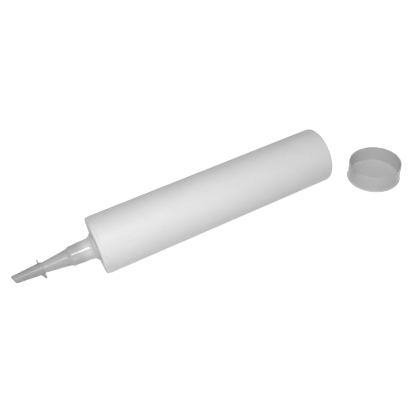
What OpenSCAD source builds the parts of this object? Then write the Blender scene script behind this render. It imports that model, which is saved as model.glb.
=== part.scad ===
// Empty caulk cartridge: a one-piece barrel with a threaded neck, a screw-on nozzle, the cap pushed
// over the nozzle's tip, and the cup-shaped plunger standing loose behind the open rear end.
// The barrel's axis is X. The origin is the centre of the open rear mouth, and +X points out of it.
// The barrel lies on the plane z = -barrel_od / 2, and the nozzle points towards -X.

/* [Barrel] */
// Length of the tube from its front face to its rear rim
barrel_l = 216; // [120:1:300]
// Outer diameter of the tube
barrel_od = 50; // [46:0.5:60]
// Wall thickness of the tube
barrel_wall = 1.2; // [0.8:0.1:2]
// Thickness of the front wall
front_wall = 2.2; // [1.5:0.1:4]
// Fillet inside the front corner
front_fillet = 3; // [1:0.5:6]
// Length of the shallow taper behind the front face
front_taper_l = 3; // [1.5:0.5:8]
// How far the shallow taper draws the front edge in
front_taper_in = 0.5; // [0.1:0.1:0.9]
// Rounding of the front edge
front_edge_r = 1.5; // [0.2:0.1:2]
// Length of the bevel on the outside of the rear rim
rim_bevel_l = 1.2; // [0.5:0.1:3]
// Depth of the bevel on the outside of the rear rim
rim_bevel_in = 0.3; // [0.1:0.05:0.6]

/* [Neck] */
// Core diameter of the neck, under its thread
neck_od = 13.6; // [12:0.1:14]
// Bore through the neck
neck_bore = 9.5; // [7:0.1:10.5]
// Length of the neck in front of the seat
neck_l = 14.5; // [8:0.5:17]
// Chamfer at the neck's end
neck_chamfer = 0.8; // [0.2:0.1:1.2]
// Fillet at the neck's foot
neck_fillet = 0.5; // [0.2:0.1:0.6]
// Height of the raised seat that the nozzle's base is screwed down to
seat_h = 0.4; // [0.2:0.1:1.5]
// How far the seat reaches past the nozzle's flared base
seat_margin = 0.4; // [0.1:0.1:2]

/* [Nozzle] */
// Diameter of the flared base
flare_d = 23.6; // [21:0.2:30]
// Thickness of the flare's edge
flare_edge = 0.6; // [0.5:0.1:2]
// Concave radius that carries the flare into the collar
flare_fillet = 4.5; // [1.5:0.1:6]
// Collar diameter just above the flare
collar_d = 18; // [17:0.1:20]
// Collar diameter at the shoulder
collar_top_d = 16.8; // [16.6:0.1:19]
// Length of the collar, base included
collar_l = 20.2; // [18:0.2:26]
// Length of the rounded shoulder between collar and cone
shoulder_l = 2.6; // [1:0.1:5]
// Cone diameter above the shoulder
cone_d = 14.1; // [12:0.1:15]
// Length of the cone that the cap leaves bare
cone_l = 20; // [12:0.5:40]
// Cone diameter at the step for the cap
cone_end_d = 8.9; // [8.9:0.1:11]
// Wall of the cone
nozzle_wall = 1.2; // [0.8:0.1:1.6]
// Diameter of the outlet at the tip
outlet_d = 4.2; // [3:0.1:4.5]
// Length of the plain land that runs on the end of the neck
land_l = 2.5; // [1:0.5:5]

/* [Nozzle cap] */
// Length of the cap on its long side
cap_l = 25; // [23:0.5:32]
// Outer diameter of the cap behind its bevelled rim
cap_d = 10.2; // [9.8:0.1:12]
// Outer diameter of the cap at its closed end
cap_end_d = 6.8; // [6.6:0.1:9]
// Wall thickness of the cap
cap_wall = 0.75; // [0.6:0.05:0.85]
// Thickness of the closed end where it is thinnest
cap_floor = 1.1; // [0.8:0.1:2]
// Slant of the closed end
cap_slant = 19; // [0:1:25]
// Length of the bevel round the rim
cap_rim_l = 2.2; // [0.5:0.1:3]
// Depth of the bevel round the rim
cap_rim_in = 0.3; // [0.1:0.05:0.4]
// Reach of the upper wing from the axis
upper_wing_r = 8; // [7:0.1:12]
// Distance from the rim to the middle of the upper wing
upper_wing_back = 2.5; // [2:0.1:6]
// Reach of the lower wing from the axis
lower_wing_r = 8.9; // [7:0.1:12]
// Distance from the rim to the middle of the lower wing
lower_wing_back = 0.6; // [0.6:0.1:6]
// Width of both wings
wing_w = 5; // [3:0.5:7]
// Thickness of both wings
wing_t = 1; // [0.5:0.1:1.1]
// Root length of the wedge that backs the lower wing
wedge_l = 3; // [1:0.1:6]
// Turn of the cap about its axis, as it was pushed on
cap_turn = -41; // [-90:1:90]

/* [Plunger] */
// Height of the plunger
plunger_h = 16.4; // [10:0.1:30]
// Wall thickness of the plunger's skirt
plunger_wall = 0.9; // [0.6:0.1:1.5]
// Thickness of the plunger's closed face
plunger_floor = 1.2; // [0.8:0.1:2.5]
// How much narrower the open rim is than the foot of the skirt, over the diameter
plunger_taper = 0.6; // [0:0.1:2]
// Height of the wiper lip round the closed face
lip_h = 1.6; // [0.8:0.1:3]
// How far the wiper lip stands proud of the skirt
lip_out = 0.5; // [0.2:0.1:1]
// Fillet between the skirt and the closed face, inside
plunger_fillet = 1.2; // [0.5:0.1:3]
// Clear space between the rear rim and the plunger
plunger_behind = 20.7; // [5:0.1:60]
// How far the plunger stands to the side of the barrel's axis
plunger_aside = 30.1; // [0:0.1:60]

/* [Fits] */
// Squeeze of the wiper lip in the barrel, over the radius
lip_squeeze = 0.15; // [0:0.05:0.4]
// Gap between the nozzle's base and its seat
seat_gap = 0.15; // [0.1:0.05:0.3]
// Radial clearance of the nozzle's land on the neck
land_fit = 0.08; // [0.05:0.01:0.1]
// Radial room for the neck's thread in the nozzle's socket
thread_room = 0.7; // [0.5:0.05:0.8]
// Gap between the neck's end and the nozzle's inner shoulder
neck_end_gap = 0.3; // [0.1:0.1:1]
// Radial clearance between the nozzle's tip and the cap
cap_fit = 0.1; // [0.08:0.01:0.15]
// Gap between the cap's rim and the step on the cone
cap_rim_gap = 0.15; // [0.1:0.05:0.3]

/* [Hidden] */
$fn = 96;
// Overrun that carries a cut clear through a face
over = 1;
white_pe = [0.92, 0.92, 0.91];
natural_pe = [0.80, 0.80, 0.79];

barrel_r = barrel_od / 2;
bore_r = barrel_r - barrel_wall;
front_r = barrel_r - front_taper_in;
neck_r = neck_od / 2;
neck_bore_r = neck_bore / 2;
seat_r = flare_d / 2 + seat_margin;
neck_end = seat_h + neck_l;

// Distances along the nozzle are measured forwards from the barrel's front face
base_at = seat_h + seat_gap;
collar_end = base_at + collar_l;
cone_at = collar_end + shoulder_l;
step_at = cone_at + cone_l;
flare_r = flare_d / 2;
collar_r = collar_d / 2;
collar_top_r = collar_top_d / 2;
cone_r = cone_d / 2;
cone_end_r = cone_end_d / 2;
outlet_r = outlet_d / 2;
land_r = neck_r + land_fit;
socket_r = neck_r + thread_room;
land_at = neck_end - land_l;
passage_at = neck_end + neck_end_gap;

cap_at = step_at + cap_rim_gap;
cap_end = cap_at + cap_l;
cap_r = cap_d / 2;
cap_end_r = cap_end_d / 2;
cap_taper = (cap_r - cap_end_r) / (cap_l - cap_rim_l);
cavity_r = cap_r + cap_taper * cap_rim_l - cap_wall;
cavity_end = cap_end - cap_end_d * tan(cap_slant) - cap_floor;
cavity_end_r = cavity_r - cap_taper * (cavity_end - cap_at);
tip_end = cavity_end - cap_rim_gap;
tip_r = cavity_r + cap_taper * cap_rim_gap - cap_fit;
tip_end_r = tip_r - cap_taper * (tip_end - step_at);

lip_r = bore_r + lip_squeeze;
skirt_r = lip_r - lip_out;
plunger_rim_r = skirt_r - plunger_taper / 2;
skirt_in_r = skirt_r - plunger_wall;
plunger_rim_in_r = plunger_rim_r - plunger_wall;
plunger_x = plunger_behind + lip_r;

// Turns a profile in (radius, distance ahead of the front face) about the barrel's axis
module turned_ahead() {
    translate([-barrel_l, 0, 0]) rotate([0, -90, 0]) rotate_extrude() children();
}

// A half-plane shape from the axis out to radius r between two distances
module disc_section(r, from, to) {
    translate([0, from]) square([r, to - from]);
}

// Quarter fillet in the corner of a shaft of radius r and a face at distance d, on the far side
module foot_fillet(r, d, fillet) {
    difference() {
        translate([r - over / 2, d - over / 2]) square(fillet + over / 2);
        translate([r + fillet, d + fillet]) circle(fillet);
    }
}

// Outline of the tube, its front wall, the seat and the neck, before it is hollowed
module barrel_outline() {
    polygon([
        [0, -barrel_l],
        [barrel_r - rim_bevel_in, -barrel_l],
        [barrel_r, rim_bevel_l - barrel_l],
        [barrel_r, -front_taper_l],
        [front_r, -front_edge_r],
        [front_r - front_edge_r, 0],
        [0, 0]
    ]);
    translate([front_r - front_edge_r, -front_edge_r]) circle(front_edge_r);
    disc_section(seat_r, -over, seat_h);
    foot_fillet(neck_r, seat_h, neck_fillet);
    polygon([
        [0, 0],
        [neck_r, 0],
        [neck_r, neck_end - neck_chamfer],
        [neck_r - neck_chamfer, neck_end],
        [0, neck_end]
    ]);
}

// The hollow of the tube, with its filleted front corner
module barrel_hollow() {
    disc_section(bore_r, -barrel_l - over, -front_wall - front_fillet);
    disc_section(bore_r - front_fillet, -front_wall - front_fillet - over, -front_wall);
    translate([bore_r - front_fillet, -front_wall - front_fillet]) circle(front_fillet);
}

module barrel() {
    color(white_pe) turned_ahead() difference() {
        intersection() {
            barrel_outline();
            disc_section(barrel_od, -barrel_l, neck_end);
        }
        barrel_hollow();
        disc_section(neck_bore_r, -front_wall - over, neck_end + over);
    }
}

// Outline of the nozzle: flare, collar, shoulder, bare cone and the tip under the cap
module nozzle_outline() {
    polygon([
        [0, base_at],
        [flare_r, base_at],
        [flare_r, base_at + flare_edge],
        [collar_r, base_at + flare_edge],
        [collar_r, base_at + flare_edge + flare_fillet],
        [collar_top_r, collar_end],
        [(collar_top_r + 2 * cone_r) / 3, collar_end + shoulder_l / 2],
        [cone_r, cone_at],
        [cone_end_r, step_at],
        [tip_r, step_at],
        [tip_end_r, tip_end],
        [0, tip_end]
    ]);
    foot_fillet(collar_r, base_at + flare_edge, flare_fillet);
}

// The nozzle's inside: thread socket, land on the neck's end and the tapered passage
module nozzle_hollow() {
    disc_section(socket_r, base_at - over, land_at);
    disc_section(land_r, land_at - over, passage_at);
    polygon([
        [0, passage_at - over],
        [land_r, passage_at - over],
        [land_r, passage_at],
        [cone_r - nozzle_wall, cone_at],
        [cone_end_r - nozzle_wall, step_at],
        [outlet_r, tip_end],
        [outlet_r, tip_end + over],
        [0, tip_end + over]
    ]);
}

module nozzle() {
    color(natural_pe) turned_ahead() difference() {
        intersection() {
            nozzle_outline();
            disc_section(flare_r, base_at, tip_end);
        }
        nozzle_hollow();
    }
}

// A wing: a flat plate with a round end that reaches out from the axis towards +Z
module wing(reach, back) {
    translate([-barrel_l - cap_at - back - wing_t / 2, 0, 0]) rotate([90, 0, 90]) linear_extrude(wing_t) {
        translate([-wing_w / 2, 0]) square([wing_w, reach - wing_w / 2]);
        translate([0, reach - wing_w / 2]) circle(wing_w / 2);
    }
}

// The wedge that backs a wing on the side of the closed end
module wedge(reach, back) {
    foot = cap_r - cap_taper * back;
    translate([-barrel_l - cap_at - back, wing_t / 2, 0]) rotate([90, 0, 0]) linear_extrude(wing_t)
        polygon([[0, 0], [-wedge_l, 0], [-wedge_l, foot - over / 2], [-wing_t / 2, reach], [0, reach]]);
}

module nozzle_cap() {
    color(natural_pe) rotate([cap_turn, 0, 0]) difference() {
        union() {
            turned_ahead() polygon([
                [0, cap_at],
                [cap_r + cap_taper * cap_rim_l - cap_rim_in, cap_at],
                [cap_r, cap_at + cap_rim_l],
                [cap_end_r, cap_end],
                [0, cap_end]
            ]);
            wing(upper_wing_r, upper_wing_back);
            mirror([0, 0, 1]) {
                wing(lower_wing_r, lower_wing_back);
                wedge(lower_wing_r, lower_wing_back);
            }
        }
        turned_ahead() polygon([
            [0, cap_at - over],
            [cavity_r, cap_at - over],
            [cavity_r, cap_at],
            [cavity_end_r, cavity_end],
            [0, cavity_end]
        ]);
        translate([-barrel_l - cap_end, 0, cap_end_r]) rotate([0, -cap_slant, 0])
            translate([-2 * cap_l, -cap_d, -3 * cap_d]) cube([2 * cap_l, 2 * cap_d, 4 * cap_d]);
    }
}

// Section of the plunger standing on its closed face, before it is hollowed
module plunger_outline() {
    polygon([
        [0, 0],
        [lip_r, 0],
        [skirt_r, lip_h],
        [plunger_rim_r, plunger_h],
        [0, plunger_h]
    ]);
}

// The plunger's inside, with its filleted corner
module plunger_hollow() {
    fillet_at = [skirt_in_r - plunger_fillet, plunger_floor + plunger_fillet];
    polygon([
        [0, plunger_floor],
        [fillet_at[0], plunger_floor],
        [skirt_in_r, fillet_at[1]],
        [plunger_rim_in_r, plunger_h],
        [plunger_rim_in_r, plunger_h + over],
        [0, plunger_h + over]
    ]);
    translate(fillet_at) circle(plunger_fillet);
}

module plunger() {
    color(natural_pe) translate([plunger_x, -plunger_aside, -barrel_r]) rotate_extrude() difference() {
        plunger_outline();
        plunger_hollow();
    }
}

barrel();
nozzle();
nozzle_cap();
plunger();
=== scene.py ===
"""Looks of the empty caulk cartridge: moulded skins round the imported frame, plastics and studio light."""

import math

import bmesh
import bpy
from mathutils import Matrix, Vector


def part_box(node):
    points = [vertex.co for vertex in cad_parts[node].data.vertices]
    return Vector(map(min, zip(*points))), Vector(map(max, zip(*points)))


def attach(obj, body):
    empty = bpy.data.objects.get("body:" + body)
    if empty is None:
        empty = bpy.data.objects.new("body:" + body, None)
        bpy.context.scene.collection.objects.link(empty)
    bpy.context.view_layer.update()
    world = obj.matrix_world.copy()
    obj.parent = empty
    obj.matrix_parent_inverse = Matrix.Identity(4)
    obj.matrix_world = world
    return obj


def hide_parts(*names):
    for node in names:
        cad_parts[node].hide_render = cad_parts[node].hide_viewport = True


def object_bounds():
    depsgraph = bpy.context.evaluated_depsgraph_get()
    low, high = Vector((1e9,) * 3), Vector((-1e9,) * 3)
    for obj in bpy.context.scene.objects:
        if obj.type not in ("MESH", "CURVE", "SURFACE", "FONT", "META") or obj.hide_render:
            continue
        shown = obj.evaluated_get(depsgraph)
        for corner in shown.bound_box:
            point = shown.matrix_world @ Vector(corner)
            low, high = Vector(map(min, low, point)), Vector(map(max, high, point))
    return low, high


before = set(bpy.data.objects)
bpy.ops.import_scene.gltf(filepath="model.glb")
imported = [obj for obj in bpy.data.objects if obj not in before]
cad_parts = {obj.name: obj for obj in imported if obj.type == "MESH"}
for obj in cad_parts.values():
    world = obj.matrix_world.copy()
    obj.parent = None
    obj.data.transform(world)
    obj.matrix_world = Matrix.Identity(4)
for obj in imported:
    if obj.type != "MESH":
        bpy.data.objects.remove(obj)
cad_low, cad_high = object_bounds()

MM = 0.001

# Barrel and neck, in millimetres as the solids have them
BARREL_L = 216.0
BARREL_R = 25.0
BORE_R = 23.8
FRONT_WALL = 2.2
FRONT_FILLET = 3.0
FRONT_TAPER_L = 3.0
FRONT_R = 24.5
FRONT_EDGE_R = 1.5
RIM_BEVEL_L = 1.2
RIM_BEVEL_IN = 0.3
NECK_R = 6.8
NECK_BORE_R = 4.75
NECK_CHAMFER = 0.8
NECK_FILLET = 0.5
NECK_L = 14.5
SEAT_H = 0.4
SEAT_R = 12.2
NECK_END = SEAT_H + NECK_L

# Fine moulded line round the barrel behind its front face, which the solids leave out
FRONT_LINE_AT = 2.0
FRONT_LINE_W = 1.8
FRONT_LINE_DEPTH = 0.4
FRONT_LINE_R = FRONT_R + (BARREL_R - FRONT_R) * FRONT_LINE_AT / FRONT_TAPER_L

# Nozzle, as distances ahead of the barrel's front face and radii
NOZZLE_GAP = 0.15
NOZZLE_BASE = SEAT_H + NOZZLE_GAP
FLARE_R = 11.8
FLARE_EDGE = 0.6
FLARE_FILLET = 4.5
COLLAR_R = 9.0
COLLAR_TOP_R = 8.4
COLLAR_L = 20.2
COLLAR_END = NOZZLE_BASE + COLLAR_L
SHOULDER_L = 2.6
SHOULDER_FILLET = 2.0
SHOULDER_BLEND = 4.0
CONE_AT = COLLAR_END + SHOULDER_L
CONE_R = 7.05
CONE_L = 20.0
CONE_END_R = 4.45
SHOULDER_AT = (COLLAR_END + CONE_AT) / 2
SHOULDER_R = (COLLAR_TOP_R + 2 * CONE_R) / 3
STEP_AT = CONE_AT + CONE_L
NOZZLE_WALL = 1.2
OUTLET_R = 2.1
SOCKET_FIT = 0.7
SOCKET_R = NECK_R + SOCKET_FIT
LAND_FIT = 0.08
LAND_R = NECK_R + LAND_FIT
LAND_L = 2.5
LAND_AT = NECK_END - LAND_L
PASSAGE_GAP = 0.3
PASSAGE_AT = NECK_END + PASSAGE_GAP

# Nozzle cap, with its slant and its turn on the nozzle in degrees
CAP_FIT = 0.1
CAP_RIM_GAP = 0.15
CAP_AT = STEP_AT + CAP_RIM_GAP
CAP_L = 25.0
CAP_END = CAP_AT + CAP_L
CAP_R = 5.1
CAP_END_R = 3.4
CAP_RIM_L = 2.2
CAP_RIM_IN = 0.3
CAP_WALL = 0.75
CAP_FLOOR = 1.1
CAP_SLANT_ANGLE = 19.0
CAP_TURN_ANGLE = -41.0
CAP_SLANT = math.tan(math.radians(CAP_SLANT_ANGLE))
CAP_TURN = Matrix.Rotation(math.radians(CAP_TURN_ANGLE), 3, "X")
CAP_TAPER = (CAP_R - CAP_END_R) / (CAP_L - CAP_RIM_L)
CAVITY_R = CAP_R + CAP_TAPER * CAP_RIM_L - CAP_WALL
CAVITY_END = CAP_END - 2 * CAP_END_R * CAP_SLANT - CAP_FLOOR
CAVITY_END_R = CAVITY_R - CAP_TAPER * (CAVITY_END - CAP_AT)
UPPER_WING_R = 8.0
UPPER_WING_BACK = 2.5
LOWER_WING_R = 8.9
LOWER_WING_BACK = 0.6
WING_W = 5.0
WING_T = 1.0
WING_SINK = 0.2
WEDGE_L = 3.0

# The nozzle's tip, which follows the cap's cavity
TIP_END = CAVITY_END - CAP_RIM_GAP
TIP_R = CAVITY_R + CAP_TAPER * CAP_RIM_GAP - CAP_FIT
TIP_END_R = TIP_R - CAP_TAPER * (TIP_END - STEP_AT)

# Plunger, with its lip upright over the first part of the lip's height
PLUNGER_H = 16.4
PLUNGER_FLOOR = 1.2
PLUNGER_FILLET = 1.2
LIP_OVERSIZE = 0.15
LIP_R = BORE_R + LIP_OVERSIZE
LIP_H = 1.6
LIP_UPRIGHT_H = 0.45 * LIP_H
LIP_STEP = 0.5
SKIRT_R = LIP_R - LIP_STEP
SKIRT_WALL = 0.9
SKIRT_TAPER = 0.3
SKIRT_RIM_R = SKIRT_R - SKIRT_TAPER

# The neck's right-handed thread and its counterpart in the nozzle's socket
THREAD_PITCH = 2.8
THREAD_FROM = 2.4
THREAD_TO = 11.4
THREAD_HEIGHT = 0.45
THREAD_ROOT = 0.15
THREAD_FOOT = 0.2
THREAD_BASE_W = 1.0
THREAD_CREST_W = 0.45
THREAD_FADE = 0.25

# Radii of the softened edges, in millimetres
SHARP_EDGE = 0.1
CAP_EDGE = 0.12
THIN_EDGE = 0.15
FINE_EDGE = 0.2
TIP_EDGE = 0.25
SOFT_EDGE = 0.3
CAP_END_EDGE = 0.35
BROAD_EDGE = 0.4
ROUND_EDGE = 0.5
PASSAGE_EDGE = 1.0

# How finely round forms are divided
TURN_STEPS = 192
THREAD_STEPS = 72
CORNER_STEPS = 6
FLARE_STEPS = 12
BOW_STEPS = 16
WING_EDGE_STEPS = 2

# The largest share of the shorter side next to it that a softened edge takes
FILLET_SHARE = 0.7

# How much more the large faces count in the normals, in the modifier's own scale of 1 to 100
LARGE_FACE_WEIGHT = 80

# How light enters the plastics
MILKY = {
    "Subsurface Weight": 0.2,
    "Subsurface Radius": (1, 1, 1),
    "Subsurface Scale": 2 * MM,
    "IOR": 1.5,
    "Specular IOR Level": 0.35,
}
NATURAL = {
    "Subsurface Weight": 0.5,
    "Subsurface Radius": (1, 1, 1),
    "Subsurface Scale": 4 * MM,
    "Transmission Weight": 0.12,
    "IOR": 1.5,
    "Specular IOR Level": 0.27,
}
SHEER = {**NATURAL, "Transmission Weight": 0.25}

# Greys of the plastics and their lowest and highest roughness
WHITE_GREY = 0.78
WHITE_ROUGHNESS = (0.42, 0.52)
NOZZLE_GREY = 0.57
NOZZLE_ROUGHNESS = (0.19, 0.25)
# Painted shade: the cap has the nozzle's plastic, with a darker grey standing in for the shade of its thin,
# hollow wall
CAP_SHADED_GREY = 0.49
CAP_ROUGHNESS = (0.22, 0.28)
PLUNGER_GREY = 0.74
PLUNGER_ROUGHNESS = (0.16, 0.22)

# Painted light: the nozzle's colour is made paler, fully up to this distance and then fading out at the
# neck's end, standing in for the white neck seen through its translucent wall
PAINTED_LIGHT_BY = 0.18
PAINTED_LIGHT_TO = 8.0

# Marks of the plastics: how much their grey varies, and how deep streaks and ripple are in millimetres
WHITE_MARKS = {"cloud": 0.010, "grain": 0.020, "streak_mm": 0.012, "ripple_mm": 0.03}
NATURAL_MARKS = {"cloud": 0.015, "grain": 0.015, "streak_mm": 0.001, "ripple_mm": 0.003}

# Noises behind the marks: scale, detail and roughness, and the part of their range that is used
CLOUD_NOISE = (45.0, 3.0, 0.5)
GRAIN_NOISE = (900.0, 3.0, 0.6)
GLOSS_NOISE = (60.0, 3.0, 0.5)
RIPPLE_NOISE = (50.0, 1.0, 0.4)
STREAK_NOISE = (300.0, 2.0, 0.5)
STREAK_STRETCH = (0.06, 1, 1)
NOISE_LOW = 0.3
NOISE_HIGH = 0.7

# The photograph's camera: place in millimetres, angles in degrees, near and far limits in metres
CAMERA_AT = (-234.35, -305.3, 298.5)
CAMERA_YAW = 21.35
CAMERA_PITCH = 43.01
CAMERA_ROLL = -7.78
CAMERA_LENS = 44.55
SENSOR = 36.0
CLIP_START = 0.01
CLIP_END = 20

# Lamps: places and sizes in metres, powers in watts
LIGHT_TARGET = (-0.10, -0.01, -0.01)
KEY_AT = (-0.24, -0.31, 0.44)
KEY_SIZE = 0.04
KEY_POWER = 1.28
TOP_AT = (-0.10, 0.0, 0.50)
TOP_SIZE = 0.4
TOP_POWER = 0.42
FILL_AT = (-0.20, -0.495, 0.07)
FILL_SIZE = 0.3
FILL_POWER = 0.47
GLINT_AT = (-0.41, -0.347, 0.413)
GLINT_SIZE = 0.03
GLINT_POWER = 0.5

# Sky and floor: what lights the object, and the white that the camera sees instead
SKY = 0.1
SKY_SEEN = 1.0
FLOOR_GREY = 0.55
FLOOR_LIFT = 0.9
FLOOR_ROUGHNESS = 0.9
FLOOR_SPECULAR = 0.1
FLOOR_SIZE = 6
PURE_WHITE = (1, 1, 1, 1)


def ahead(distance):
    """X in millimetres of a point that lies a distance ahead of the barrel's front face."""
    return -BARREL_L - distance


def rounded(corners):
    """A profile of (distance, radius, fillet) corners as points, with each fillet an arc."""
    points = []
    count = len(corners)
    for i, (distance, radius, fillet) in enumerate(corners):
        corner = Vector((distance, radius))
        if fillet == 0:
            points.append(corner)
            continue
        to_last = Vector(corners[i - 1][:2]) - corner
        to_next = Vector(corners[(i + 1) % count][:2]) - corner
        half = to_last.angle(to_next) / 2
        reach = min(fillet / math.tan(half), FILLET_SHARE * min(to_last.length, to_next.length))
        start = corner + to_last.normalized() * reach
        end = corner + to_next.normalized() * reach
        middle = (to_last.normalized() + to_next.normalized()).normalized()
        centre = corner + middle * (reach / math.cos(half))
        first, last = start - centre, end - centre
        sweep = first.angle(last)
        for step in range(CORNER_STEPS + 1):
            share = step / CORNER_STEPS
            arm = (first * math.sin((1 - share) * sweep) + last * math.sin(share * sweep)) / math.sin(sweep)
            points.append(centre + arm)
    return points


def new_object(name, mesh_data):
    """Links a new mesh made from a bmesh, with its normals outwards and shaded smooth."""
    bmesh.ops.recalc_face_normals(mesh_data, faces=mesh_data.faces)
    mesh = bpy.data.meshes.new(name)
    mesh_data.to_mesh(mesh)
    mesh_data.free()
    for face in mesh.polygons:
        face.use_smooth = True
    piece = bpy.data.objects.new(name, mesh)
    bpy.context.scene.collection.objects.link(piece)
    return piece


def turned(name, points, place, closed):
    """A body of revolution. place(distance, radius, angle) gives a vertex; points on the axis are poles."""
    data = bmesh.new()
    angles = [2 * math.pi * k / TURN_STEPS for k in range(TURN_STEPS)]
    rings = []
    for distance, radius in points:
        if radius == 0:
            rings.append([data.verts.new(place(distance, 0, 0))])
            continue
        rings.append([data.verts.new(place(distance, radius, angle)) for angle in angles])
    pairs = list(zip(rings, rings[1:]))
    if closed:
        pairs.append((rings[-1], rings[0]))
    for low, high in pairs:
        for k in range(TURN_STEPS):
            k2 = (k + 1) % TURN_STEPS
            corners = [low[k % len(low)], low[k2 % len(low)], high[k2 % len(high)], high[k % len(high)]]
            data.faces.new(list(dict.fromkeys(corners)))
    return new_object(name, data)


def along_barrel(distance, radius, angle):
    """A vertex round the barrel's axis, in metres."""
    return Vector((ahead(distance), radius * math.sin(angle), radius * math.cos(angle))) * MM


def even_normals(piece):
    """Lets the large faces set the normals, so that flats stay flat next to small fillets."""
    modifier = piece.modifiers.new("even_normals", "WEIGHTED_NORMAL")
    modifier.mode = "FACE_AREA"
    modifier.weight = LARGE_FACE_WEIGHT


def applied(piece):
    """Replaces a piece's mesh with the result of its modifiers."""
    bpy.context.view_layer.update()
    result = bpy.data.meshes.new_from_object(piece.evaluated_get(bpy.context.evaluated_depsgraph_get()))
    piece.modifiers.clear()
    piece.data = result


def make_barrel():
    """The tube with its neck, and a fine moulded line round it where its front taper ends."""
    profile = rounded([
        (-FRONT_WALL, NECK_BORE_R, SOFT_EDGE),
        (NECK_END, NECK_BORE_R, FINE_EDGE),
        (NECK_END, NECK_R - NECK_CHAMFER, FINE_EDGE),
        (NECK_END - NECK_CHAMFER, NECK_R, FINE_EDGE),
        (SEAT_H, NECK_R, NECK_FILLET),
        (SEAT_H, SEAT_R, THIN_EDGE),
        (0, SEAT_R, THIN_EDGE),
        (0, FRONT_R, FRONT_EDGE_R),
        (-FRONT_LINE_AT, FRONT_LINE_R, SOFT_EDGE),
        (-FRONT_LINE_AT - FRONT_LINE_W / 2, BARREL_R - FRONT_LINE_DEPTH, BROAD_EDGE),
        (-FRONT_LINE_AT - FRONT_LINE_W, BARREL_R, ROUND_EDGE),
        (RIM_BEVEL_L - BARREL_L, BARREL_R, THIN_EDGE),
        (-BARREL_L, BARREL_R - RIM_BEVEL_IN, FINE_EDGE),
        (-BARREL_L, BORE_R, FINE_EDGE),
        (-FRONT_WALL, BORE_R, FRONT_FILLET),
    ])
    return turned("barrel_skin", profile, along_barrel, closed=True)


def flare_sweep():
    """The concave sweep from the flare's edge into the collar, as corners without a fillet."""
    middle_at = NOZZLE_BASE + FLARE_EDGE + FLARE_FILLET
    middle_r = COLLAR_R + FLARE_FILLET
    start = math.acos((middle_r - FLARE_R) / FLARE_FILLET)
    sweep = []
    for step in range(FLARE_STEPS + 1):
        angle = start * (1 - step / FLARE_STEPS)
        sweep.append((
            middle_at - FLARE_FILLET * math.sin(angle),
            middle_r - FLARE_FILLET * math.cos(angle),
            0,
        ))
    return sweep


def make_nozzle():
    """The nozzle, hollow from the socket to the outlet, with the bare tip that the cap covers."""
    profile = rounded([
        (NOZZLE_BASE, FLARE_R, FINE_EDGE),
        *flare_sweep(),
        (COLLAR_END, COLLAR_TOP_R, SHOULDER_FILLET),
        (SHOULDER_AT, SHOULDER_R, SHOULDER_BLEND),
        (CONE_AT, CONE_R, SHOULDER_BLEND),
        (STEP_AT, CONE_END_R, SHARP_EDGE),
        (STEP_AT, TIP_R, 0),
        (TIP_END, TIP_END_R, TIP_EDGE),
        (TIP_END, OUTLET_R, FINE_EDGE),
        (STEP_AT, CONE_END_R - NOZZLE_WALL, PASSAGE_EDGE),
        (CONE_AT, CONE_R - NOZZLE_WALL, PASSAGE_EDGE),
        (PASSAGE_AT, LAND_R, SOFT_EDGE),
        (LAND_AT, LAND_R, FINE_EDGE),
        (LAND_AT, SOCKET_R, FINE_EDGE),
        (NOZZLE_BASE, SOCKET_R, BROAD_EDGE),
    ])
    return turned("nozzle_skin", profile, along_barrel, closed=True)


def thread(name, radius, outwards, offset):
    """A ridge that winds round the axis as a right-handed thread and fades in and out at its ends."""
    data = bmesh.new()
    count = int((THREAD_TO - THREAD_FROM) / THREAD_PITCH * THREAD_STEPS)
    foot = -THREAD_FOOT
    sections = []
    for step in range(count + 1):
        turn = step / THREAD_STEPS
        fade = min(1, turn / THREAD_FADE, (count / THREAD_STEPS - turn) / THREAD_FADE)
        crest = -THREAD_ROOT + (THREAD_HEIGHT + THREAD_ROOT) * math.sin(fade * math.pi / 2)
        centre = THREAD_FROM + offset + turn * THREAD_PITCH
        angle = 2 * math.pi * turn
        outline = [
            (-THREAD_BASE_W / 2, foot),
            (-THREAD_CREST_W / 2, crest),
            (THREAD_CREST_W / 2, crest),
            (THREAD_BASE_W / 2, foot),
        ]
        sections.append([
            data.verts.new(along_barrel(centre + along, radius + outwards * up, angle))
            for along, up in outline
        ])
    for near, far in zip(sections, sections[1:]):
        for k in range(len(near)):
            k2 = (k + 1) % len(near)
            data.faces.new([near[k], near[k2], far[k2], far[k]])
    data.faces.new(sections[0])
    data.faces.new(sections[-1])
    return new_object(name, data)


def plate(name, outline, place):
    """A flat plate with softened edges. place(a, b, t) gives a vertex at the height t in its thickness."""
    data = bmesh.new()
    low = [data.verts.new(place(a, b, -WING_T / 2)) for a, b in outline]
    high = [data.verts.new(place(a, b, WING_T / 2)) for a, b in outline]
    data.faces.new(low)
    data.faces.new(high)
    for k in range(len(outline)):
        k2 = (k + 1) % len(outline)
        data.faces.new([low[k], low[k2], high[k2], high[k]])
    bmesh.ops.bevel(
        data,
        geom=list(data.edges),
        offset=CAP_EDGE * MM,
        segments=WING_EDGE_STEPS,
        affect="EDGES",
        clamp_overlap=True,
    )
    return new_object(name, data)


def cap_place(distance, radius, angle):
    """A vertex of the cap, which is sheared at its closed end and turned as a whole on the nozzle."""
    up = radius * math.cos(angle)
    sink = (CAP_END_R - up) * CAP_SLANT
    share = min(1, max(0, (distance - CAVITY_END) / (CAP_END - CAVITY_END)))
    return CAP_TURN @ (Vector((ahead(distance - sink * share), radius * math.sin(angle), up)) * MM)


def make_wing(name, reach, back, side):
    """A plate with a round end across the cap, on its upper (1) or lower (-1) side."""
    half = WING_W / 2
    root = CAVITY_R + WING_SINK
    angles = [math.pi * k / BOW_STEPS for k in range(BOW_STEPS + 1)]
    bow = [(half * math.cos(a), reach - half + half * math.sin(a)) for a in angles]
    wing_x = ahead(CAP_AT + back)

    def place(a, b, t):
        return CAP_TURN @ (Vector((wing_x + t, a, side * b)) * MM)

    return plate(name, [(half, root)] + bow + [(-half, root)], place)


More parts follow.
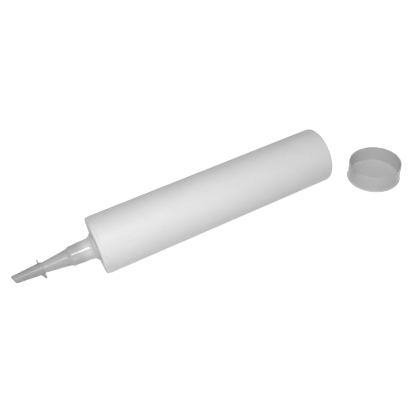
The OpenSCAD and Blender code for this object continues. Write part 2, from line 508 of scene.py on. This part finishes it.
def make_wedge(name, reach, back):
    """The gusset behind the lower wing, on the side of the closed end."""
    root = CAVITY_R + WING_SINK
    foot = CAP_R - CAP_TAPER * back - WING_SINK
    top = reach - CAP_EDGE
    wing_x = ahead(CAP_AT + back)
    outline = [(0, root), (WEDGE_L, root), (WEDGE_L, foot), (WING_T / 2, top), (0, top)]

    def place(a, b, t):
        return CAP_TURN @ (Vector((wing_x - a, t, -b)) * MM)

    return plate(name, outline, place)


def make_cap():
    """The cap with its two wings and the gusset, joined into one closed skin."""
    rim_r = CAP_R + CAP_TAPER * CAP_RIM_L - CAP_RIM_IN
    profile = rounded([
        (CAVITY_END, 0, 0),
        (CAVITY_END, CAVITY_END_R, BROAD_EDGE),
        (CAP_AT, CAVITY_R, CAP_EDGE),
        (CAP_AT, rim_r, CAP_EDGE),
        (CAP_AT + CAP_RIM_L, CAP_R, ROUND_EDGE),
        (CAVITY_END, CAP_R - CAP_TAPER * (CAVITY_END - CAP_AT - CAP_RIM_L), 0),
        (CAP_END, CAP_END_R, CAP_END_EDGE),
        (CAP_END, 0, 0),
    ])
    cap = turned("cap_skin", profile, cap_place, closed=False)
    extras = [
        make_wing("upper_wing", UPPER_WING_R, UPPER_WING_BACK, 1),
        make_wing("lower_wing", LOWER_WING_R, LOWER_WING_BACK, -1),
        make_wedge("wedge", LOWER_WING_R, LOWER_WING_BACK),
    ]
    for extra in extras:
        join = cap.modifiers.new(extra.name, "BOOLEAN")
        join.operation = "UNION"
        join.solver = "EXACT"
        join.object = extra
    applied(cap)
    for extra in extras:
        bpy.data.objects.remove(extra)
    return cap


def make_plunger():
    """The plunger's cup, open side up, where its solid stands."""
    low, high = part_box("plunger")
    centre = (low + high) / 2
    profile = rounded([
        (0, 0, 0),
        (0, LIP_R, TIP_EDGE),
        (LIP_UPRIGHT_H, LIP_R, SOFT_EDGE),
        (LIP_H, SKIRT_R, SOFT_EDGE),
        (PLUNGER_H, SKIRT_RIM_R, BROAD_EDGE),
        (PLUNGER_H, SKIRT_RIM_R - SKIRT_WALL, BROAD_EDGE),
        (PLUNGER_FLOOR, SKIRT_R - SKIRT_WALL, PLUNGER_FILLET),
        (PLUNGER_FLOOR, 0, 0),
    ])

    def place(height, radius, angle):
        return Vector((
            centre.x + radius * math.cos(angle) * MM,
            centre.y + radius * math.sin(angle) * MM,
            low.z + height * MM,
        ))

    return turned("plunger_skin", profile, place, closed=False)


def noise(tree, where, scale, detail, roughness):
    """A noise texture's factor at the given coordinates."""
    made = tree.nodes.new("ShaderNodeTexNoise")
    made.inputs["Scale"].default_value = scale
    made.inputs["Detail"].default_value = detail
    made.inputs["Roughness"].default_value = roughness
    tree.links.new(where, made.inputs["Vector"])
    return made.outputs["Fac"]


def spread(tree, factor, low, high):
    """Stretches the middle of a noise over the range from low to high."""
    made = tree.nodes.new("ShaderNodeMapRange")
    made.inputs["From Min"].default_value = NOISE_LOW
    made.inputs["From Max"].default_value = NOISE_HIGH
    made.inputs["To Min"].default_value = low
    made.inputs["To Max"].default_value = high
    tree.links.new(factor, made.inputs["Value"])
    return made.outputs["Result"]


def bumped(tree, height, depth_mm, under=None):
    """A bump of a depth in millimetres, laid over another one if there is one."""
    made = tree.nodes.new("ShaderNodeBump")
    made.inputs["Strength"].default_value = 1.0
    made.inputs["Distance"].default_value = depth_mm * MM
    tree.links.new(height, made.inputs["Height"])
    if under:
        tree.links.new(under, made.inputs["Normal"])
    return made.outputs["Normal"]


def added(tree, first, second):
    """The sum of two values."""
    made = tree.nodes.new("ShaderNodeMath")
    made.operation = "ADD"
    tree.links.new(first, made.inputs[0])
    tree.links.new(second, made.inputs[1])
    return made.outputs[0]


def along_x(tree, where, start, end, low, high):
    """A value that changes from low to high between two places ahead of the barrel's front face."""
    parts = tree.nodes.new("ShaderNodeSeparateXYZ")
    tree.links.new(where, parts.inputs[0])
    made = tree.nodes.new("ShaderNodeMapRange")
    made.inputs["From Min"].default_value = ahead(start) * MM
    made.inputs["From Max"].default_value = ahead(end) * MM
    made.inputs["To Min"].default_value = low
    made.inputs["To Max"].default_value = high
    tree.links.new(parts.outputs["X"], made.inputs["Value"])
    return made.outputs["Result"]


def plastic(name, grey, roughness, settings, marks, fade=None):
    """Moulded plastic: cloudy grey, uneven gloss, fine streaks along the barrel and a faint ripple; with
    fade, painted light that makes the colour paler along X.
    """
    material = bpy.data.materials.new(name)
    material.use_nodes = True
    tree = material.node_tree
    shader = tree.nodes["Principled BSDF"]
    for socket, value in settings.items():
        shader.inputs[socket].default_value = value
    where = tree.nodes.new("ShaderNodeTexCoord").outputs["Object"]
    clouds = spread(tree, noise(tree, where, *CLOUD_NOISE), grey - marks["cloud"], grey + marks["cloud"])
    grains = spread(tree, noise(tree, where, *GRAIN_NOISE), -marks["grain"], marks["grain"])
    level = added(tree, clouds, grains)
    # Painted light: fade makes the colour paler along X, standing in for the white neck showing through the
    # wall
    if fade:
        level = added(tree, level, along_x(tree, where, *fade))
    colour = tree.nodes.new("ShaderNodeCombineColor")
    for channel in ("Red", "Green", "Blue"):
        tree.links.new(level, colour.inputs[channel])
    tree.links.new(colour.outputs["Color"], shader.inputs["Base Color"])
    tree.links.new(spread(tree, noise(tree, where, *GLOSS_NOISE), *roughness), shader.inputs["Roughness"])
    stretch = tree.nodes.new("ShaderNodeMapping")
    stretch.inputs["Scale"].default_value = STREAK_STRETCH
    tree.links.new(where, stretch.inputs["Vector"])
    ripple = bumped(tree, noise(tree, where, *RIPPLE_NOISE), marks["ripple_mm"])
    streaks = noise(tree, stretch.outputs["Vector"], *STREAK_NOISE)
    tree.links.new(bumped(tree, streaks, marks["streak_mm"], ripple), shader.inputs["Normal"])
    return material


def make_materials():
    """The barrel's white plastic and the natural plastic of the nozzle, the cap and the plunger."""
    # Painted light on the nozzle: its colour grows paler towards the neck, standing in for the white neck
    # seen through the wall
    fade = (PAINTED_LIGHT_TO, NECK_END, PAINTED_LIGHT_BY, 0.0)
    return (
        plastic("white_polyethylene", WHITE_GREY, WHITE_ROUGHNESS, MILKY, WHITE_MARKS),
        plastic("natural_nozzle", NOZZLE_GREY, NOZZLE_ROUGHNESS, NATURAL, NATURAL_MARKS, fade),
        # Painted shade: the cap's grey is darker than the nozzle's to stand in for its thin, hollow wall
        plastic("natural_cap", CAP_SHADED_GREY, CAP_ROUGHNESS, NATURAL, NATURAL_MARKS),
        plastic("natural_plunger", PLUNGER_GREY, PLUNGER_ROUGHNESS, SHEER, NATURAL_MARKS),
    )


def dress(piece, material, body, slot, *nodes):
    """Gives a piece its material and body, and hides the solids that it stands for."""
    piece.data.materials.clear()
    piece.data.materials.append(material)
    even_normals(piece)
    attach(piece, body)
    if nodes:
        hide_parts(*nodes)


def make_camera():
    """The camera, turned by its yaw, pitch and roll."""
    yaw, pitch, roll = (math.radians(a) for a in (CAMERA_YAW, CAMERA_PITCH, CAMERA_ROLL))
    forward = Vector((math.sin(yaw) * math.cos(pitch), math.cos(yaw) * math.cos(pitch), -math.sin(pitch)))
    level = Vector((math.cos(yaw), -math.sin(yaw), 0))
    upright = level.cross(forward)
    right = math.cos(roll) * level + math.sin(roll) * upright
    up = math.cos(roll) * upright - math.sin(roll) * level
    data = bpy.data.cameras.new("camera")
    data.lens = CAMERA_LENS
    data.sensor_width = SENSOR
    data.clip_start = CLIP_START
    data.clip_end = CLIP_END
    camera = bpy.data.objects.new("camera", data)
    turn = Matrix((right, up, -forward)).transposed().to_4x4()
    camera.matrix_world = Matrix.Translation(Vector(CAMERA_AT) * MM) @ turn
    bpy.context.scene.collection.objects.link(camera)
    bpy.context.scene.camera = camera


def area_light(name, place, size, power):
    """A round lamp that points at the middle of the object."""
    data = bpy.data.lights.new(name, "AREA")
    data.shape = "DISK"
    data.size = size
    data.energy = power
    light = bpy.data.objects.new(name, data)
    light.location = place
    light.rotation_euler = (Vector(LIGHT_TARGET) - Vector(place)).to_track_quat("-Z", "Y").to_euler()
    bpy.context.scene.collection.objects.link(light)


def seen_directly(tree, unseen, seen):
    """One value for rays from the camera, the glossy and the transmitted ones, and another for the rest."""
    path = tree.nodes.new("ShaderNodeLightPath")
    either = path.outputs["Is Camera Ray"]
    for other in ("Is Transmission Ray", "Is Glossy Ray"):
        larger = tree.nodes.new("ShaderNodeMath")
        larger.operation = "MAXIMUM"
        tree.links.new(either, larger.inputs[0])
        tree.links.new(path.outputs[other], larger.inputs[1])
        either = larger.outputs[0]
    choice = tree.nodes.new("ShaderNodeMapRange")
    choice.inputs["To Min"].default_value = unseen
    choice.inputs["To Max"].default_value = seen
    tree.links.new(either, choice.inputs["Value"])
    return choice.outputs["Result"]


def make_world():
    """A dim white sky that the camera sees as full white."""
    world = bpy.data.worlds.new("studio")
    world.use_nodes = True
    tree = world.node_tree
    background = tree.nodes["Background"]
    background.inputs["Color"].default_value = PURE_WHITE
    tree.links.new(seen_directly(tree, SKY, SKY_SEEN), background.inputs["Strength"])
    bpy.context.scene.world = world


def make_floor():
    """A grey floor that reads as white to the camera, with at most a faint shadow."""
    data = bmesh.new()
    bmesh.ops.create_grid(data, x_segments=1, y_segments=1, size=FLOOR_SIZE)
    floor = new_object("floor", data)
    floor.location = ((cad_low.x + cad_high.x) / 2, 0, cad_low.z)
    material = bpy.data.materials.new("floor")
    material.use_nodes = True
    tree = material.node_tree
    shader = tree.nodes["Principled BSDF"]
    shader.inputs["Base Color"].default_value = (FLOOR_GREY, FLOOR_GREY, FLOOR_GREY, 1)
    shader.inputs["Roughness"].default_value = FLOOR_ROUGHNESS
    shader.inputs["Specular IOR Level"].default_value = FLOOR_SPECULAR
    shader.inputs["Emission Color"].default_value = PURE_WHITE
    tree.links.new(seen_directly(tree, 0.0, FLOOR_LIFT), shader.inputs["Emission Strength"])
    floor.data.materials.append(material)


make_camera()
barrel_look, nozzle_look, cap_look, plunger_look = make_materials()
dress(make_barrel(), barrel_look, "barrel", "white_pe", "barrel")
dress(thread("neck_thread", NECK_R, 1, 0), barrel_look, "barrel", "white_pe")
dress(make_nozzle(), nozzle_look, "nozzle", "natural_nozzle", "nozzle")
dress(thread("socket_thread", SOCKET_R, -1, THREAD_PITCH / 2), nozzle_look, "nozzle", "natural_nozzle")
dress(make_cap(), cap_look, "nozzle_cap", "natural_cap", "nozzle_cap")
dress(make_plunger(), plunger_look, "barrel", "natural_plunger", "plunger")
make_world()
make_floor()
area_light("key", KEY_AT, KEY_SIZE, KEY_POWER)
area_light("top", TOP_AT, TOP_SIZE, TOP_POWER)
area_light("fill", FILL_AT, FILL_SIZE, FILL_POWER)
area_light("glint", GLINT_AT, GLINT_SIZE, GLINT_POWER)
bpy.context.scene.view_settings.view_transform = "Standard"
